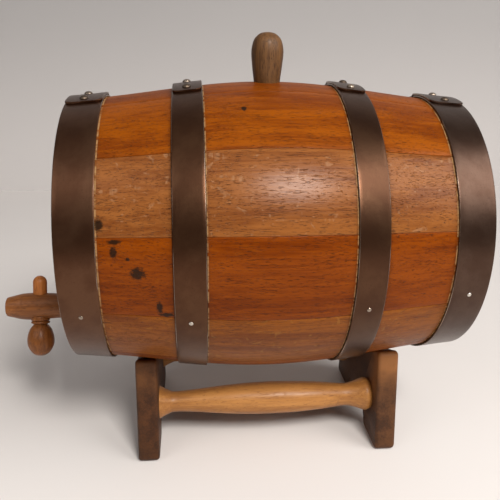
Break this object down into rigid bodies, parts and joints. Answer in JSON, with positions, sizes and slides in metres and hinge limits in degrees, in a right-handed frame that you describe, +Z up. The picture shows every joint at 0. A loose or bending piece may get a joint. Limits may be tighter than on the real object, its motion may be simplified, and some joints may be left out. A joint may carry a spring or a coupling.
{
  "type": "oak cask on cradle",
  "caption": "Small coopered oak cask lying on a two-board cradle, with riveted steel hoops, a turned wooden bung on top and a turned wooden tap in one head.",
  "frame": {"origin": "middle of the object's footprint: the centre, in X and Y, of the box around the whole object, on the floor the cradle stands on", "axes": "+X along the cask, away from the tap; -Y is the front, where the tap's knob leans; +Z up"},
  "size_m": [0.341, 0.2148, 0.3097],
  "materials": {
    "stave_oak": "satin varnish over orange-brown oak",
    "head_oak": "satin varnish over oak",
    "dowel_wood": "plain, unfinished",
    "hoop_steel": "dark brown patina, satin",
    "rivet_steel": "dark patina",
    "tack_steel": "bright, worn",
    "bung_wood": "weathered, matt",
    "tap_wood": "satin, turned",
    "cradle_wood": "dark brown stain, satin",
    "stretcher_wood": "honey varnish, satin"
  },
  "bodies": {
    "stand": {"left_cradle_board": "cradle_wood", "right_cradle_board": "cradle_wood", "front_stretcher": "stretcher_wood", "rear_stretcher": "stretcher_wood"},
    "cask": {"bung_stave": "stave_oak", "stave_02": "stave_oak", "stave_03": "stave_oak", "stave_04": "stave_oak", "stave_05": "stave_oak", "stave_06": "stave_oak", "stave_07": "stave_oak", "stave_08": "stave_oak", "stave_09": "stave_oak", "stave_10": "stave_oak", "stave_11": "stave_oak", "stave_12": "stave_oak", "left_head_front_board": "head_oak", "left_head_centre_board": "head_oak", "left_head_rear_board": "head_oak", "right_head_front_board": "head_oak", "right_head_centre_board": "head_oak", "right_head_rear_board": "head_oak", "left_head_dowels": "dowel_wood", "right_head_dowels": "dowel_wood", "left_head_hoop": "hoop_steel", "left_bilge_hoop": "hoop_steel", "right_bilge_hoop": "hoop_steel", "right_head_hoop": "hoop_steel", "hoop_rivets": "rivet_steel", "hoop_tacks": "tack_steel"},
    "bung": {"bung": "bung_wood"},
    "tap": {"tap_body": "tap_wood"},
    "tap_key": {"tap_key": "tap_wood"}
  },
  "joints": [
    {"name": "cask_lift", "type": "slide", "parent": "stand", "child": "cask", "axis": [0, 0, 1], "range_m": [0, 0.15]},
    {"name": "bung_pull", "type": "slide", "parent": "cask", "child": "bung", "axis": [0, 0, 1], "range_m": [0, 0.06]},
    {"name": "tap_pull", "type": "slide", "parent": "cask", "child": "tap", "axis": [-1, 0, 0], "range_m": [0, 0.06]},
    {"name": "tap_turn", "type": "hinge", "parent": "tap", "child": "tap_key", "pos_m": [-0.1455, 0, 0.1043], "axis": [0, 0.342, 0.9397], "continuous": true}
  ]
}
